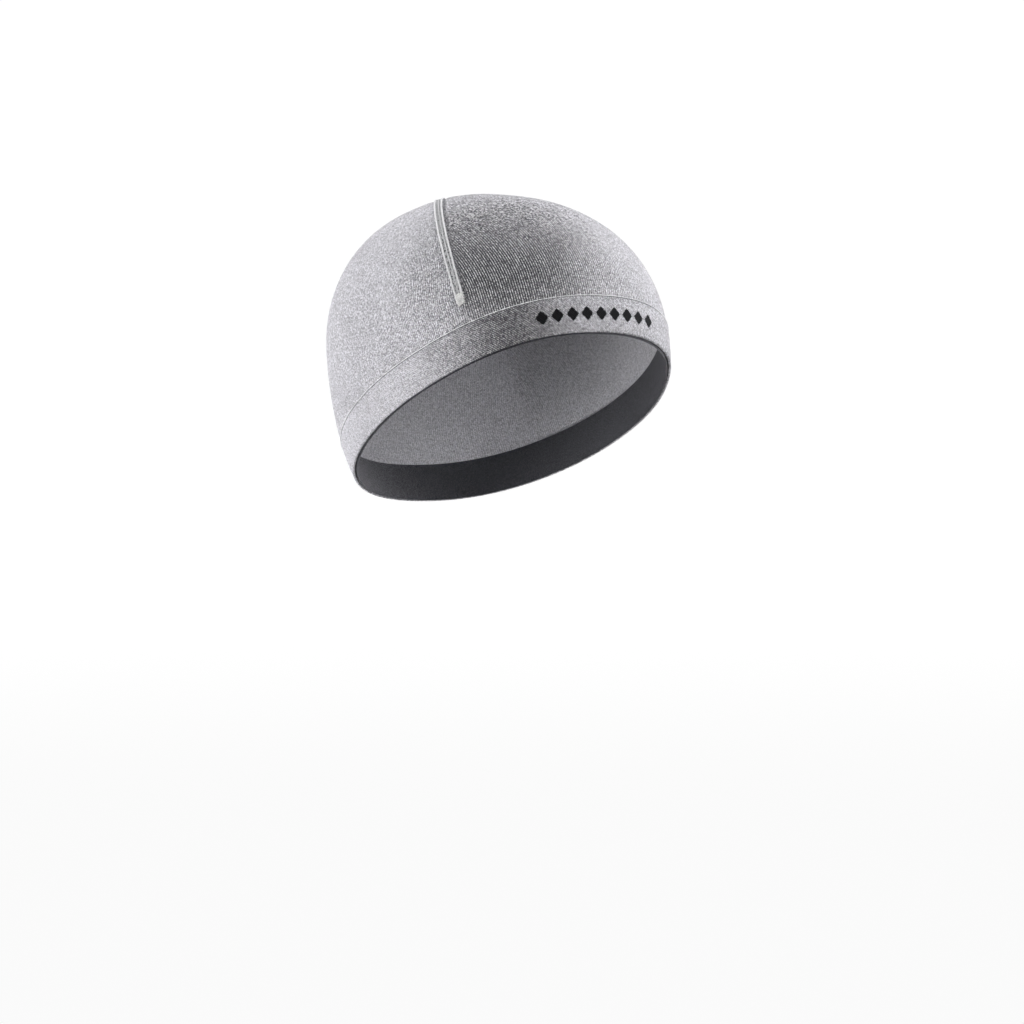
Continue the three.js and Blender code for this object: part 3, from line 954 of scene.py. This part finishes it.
# Studio: pale floor that curves up into a round wall. It only shows, and the soft panels do the lighting.
FLOOR_HEIGHT, FLOOR_RINGS, FLOOR_REACH, CURVE, WALL_TOP = -0.45, (0.6, 1.5), 2.4, 1.4, 5.0
CURVE_POINTS, BOWL_POINTS = 13, 96

# Brightness of its paper on the floor and on the wall, and the height over which it changes
PAPER_FLOOR, PAPER_WALL, PAPER_FADE = 0.96, 1.02, 0.25

# Faint even light from all round
WORLD_STRENGTH = 0.01


def studio_bowl():
    """Floor, curve and wall turned round the cap as one smooth shell."""
    turns = np.linspace(0, math.pi / 2, CURVE_POINTS)
    profile = [(reach, 0.0) for reach in FLOOR_RINGS]
    profile += [(FLOOR_REACH + CURVE * math.sin(t), CURVE * (1 - math.cos(t))) for t in turns]
    profile += [(FLOOR_REACH + CURVE, WALL_TOP)]
    points = [(0, 0, FLOOR_HEIGHT)]
    for reach, height in profile:
        for j in range(BOWL_POINTS):
            t = 2 * math.pi * j / BOWL_POINTS
            points.append((reach * math.cos(t), reach * math.sin(t), FLOOR_HEIGHT + height))
    faces = [[0, 1 + j, 1 + (j + 1) % BOWL_POINTS] for j in range(BOWL_POINTS)]
    for i in range(len(profile) - 1):
        a, b = 1 + i * BOWL_POINTS, 1 + (i + 1) * BOWL_POINTS
        faces += [[a + j, b + j, b + (j + 1) % BOWL_POINTS, a + (j + 1) % BOWL_POINTS] for j in range(BOWL_POINTS)]
    mesh = bpy.data.meshes.new("studio_bowl")
    mesh.from_pydata(points, [], faces)
    mesh.polygons.foreach_set("use_smooth", [True] * len(faces))
    piece = bpy.data.objects.new("studio_bowl", mesh)
    bpy.context.scene.collection.objects.link(piece)
    piece.visible_diffuse = piece.visible_glossy = piece.visible_transmission = piece.visible_shadow = False
    return piece


def paper_material():
    """Bright white paper, a touch greyer on the floor."""
    material = bpy.data.materials.new("studio_paper")
    material.use_nodes = True
    tree = material.node_tree
    tree.nodes.clear()
    out = tree.nodes.new("ShaderNodeOutputMaterial")
    glow = tree.nodes.new("ShaderNodeEmission")
    place = tree.nodes.new("ShaderNodeTexCoord")
    split = tree.nodes.new("ShaderNodeSeparateXYZ")
    level = tree.nodes.new("ShaderNodeMapRange")
    level.interpolation_type = "SMOOTHSTEP"
    values = (FLOOR_HEIGHT, FLOOR_HEIGHT + PAPER_FADE, PAPER_FLOOR, PAPER_WALL)
    for value, target in zip(values, list(level.inputs)[1:5]):
        target.default_value = value
    tree.links.new(place.outputs["Object"], split.inputs[0])
    tree.links.new(split.outputs[2], level.inputs[0])
    tree.links.new(level.outputs[0], glow.inputs["Strength"])
    tree.links.new(glow.outputs[0], out.inputs[0])
    return material


# Camera at the photograph's angle: it looks slightly up, and the cap lies above the middle. The focal length
# and the middle are in pixels of the image.
VIEW_AZIMUTH, VIEW_ELEVATION, VIEW_DISTANCE = -33.337, -2.0, 2.5
FOCAL_PIXELS, MIDDLE_RIGHT, MIDDLE_UP, IMAGE_SIDE, SENSOR = 5030, -15.03, 145.27, 1024, 36


def view_axes():
    """The camera's right, its up, and the way from the cap towards it."""
    a, e = math.radians(VIEW_AZIMUTH), math.radians(VIEW_ELEVATION)
    back = Vector((math.sin(a) * math.cos(e), -math.cos(a) * math.cos(e), math.sin(e)))
    right = Vector((math.cos(a), math.sin(a), 0))
    return right, back.cross(right), back


def add_camera():
    """A long lens a good way off, aimed so that the cap lies where the photograph has it."""
    right, up, back = view_axes()
    data = bpy.data.cameras.new("camera")
    data.sensor_width = SENSOR
    data.lens = FOCAL_PIXELS * SENSOR / IMAGE_SIDE
    camera = bpy.data.objects.new("camera", data)
    camera.location = Vector((0, 0, -REST_HEIGHT * MM)) + back * VIEW_DISTANCE
    aim = -back - right * (MIDDLE_RIGHT / FOCAL_PIXELS) - up * (MIDDLE_UP / FOCAL_PIXELS)
    camera.rotation_mode = "QUATERNION"
    camera.rotation_quaternion = aim.to_track_quat("-Z", "Y")
    bpy.context.scene.collection.objects.link(camera)
    bpy.context.scene.camera = camera


def add_panel(name, elevation, azimuth, power):
    """A soft light that faces the cap. Azimuth 0 is the camera's side and 90 its right."""
    right, up, back = view_axes()
    a, e = math.radians(azimuth), math.radians(elevation)
    way = (back * math.cos(a) + right * math.sin(a)) * math.cos(e) + up * math.sin(e)
    data = bpy.data.lights.new(name, "AREA")
    data.shape = "RECTANGLE"
    data.size = data.size_y = PANEL_SIZE
    data.energy = power
    panel = bpy.data.objects.new(name, data)
    panel.location = Vector((0, 0, -REST_HEIGHT * MM)) + way * PANEL_DISTANCE
    panel.rotation_mode = "QUATERNION"
    panel.rotation_quaternion = (-way).to_track_quat("-Z", "Y")
    panel.visible_camera = False
    bpy.context.scene.collection.objects.link(panel)


add_camera()
bowl = studio_bowl()
bowl.data.materials.append(paper_material())

# Soft panels: elevation, azimuth from the camera's side towards its right, and power in watts
PANEL_SIZE, PANEL_DISTANCE = 1.2, 1.6
PANELS = [
    ("light_low_left", -35, 270, 32),
    ("light_high_left", 35, 270, 25),
    ("light_level_right_back", 0, 120, 30),
    ("light_high_right_back", 35, 135, 12),
    ("light_high_right", 35, 90, 7),
    ("light_level_back_left", 0, 210, 16),
    ("light_top_back", 70, 180, 14),
    ("light_level_front_right", 0, 30, 14),
    ("light_high_front", 35, 0, 11),
]
for panel in PANELS:
    add_panel(*panel)

world = bpy.data.worlds.new("studio")
world.use_nodes = True
world.node_tree.nodes["Background"].inputs["Color"].default_value = (1, 1, 1, 1)
world.node_tree.nodes["Background"].inputs["Strength"].default_value = WORLD_STRENGTH
bpy.context.scene.world = world
bpy.context.scene.view_settings.view_transform = "Standard"
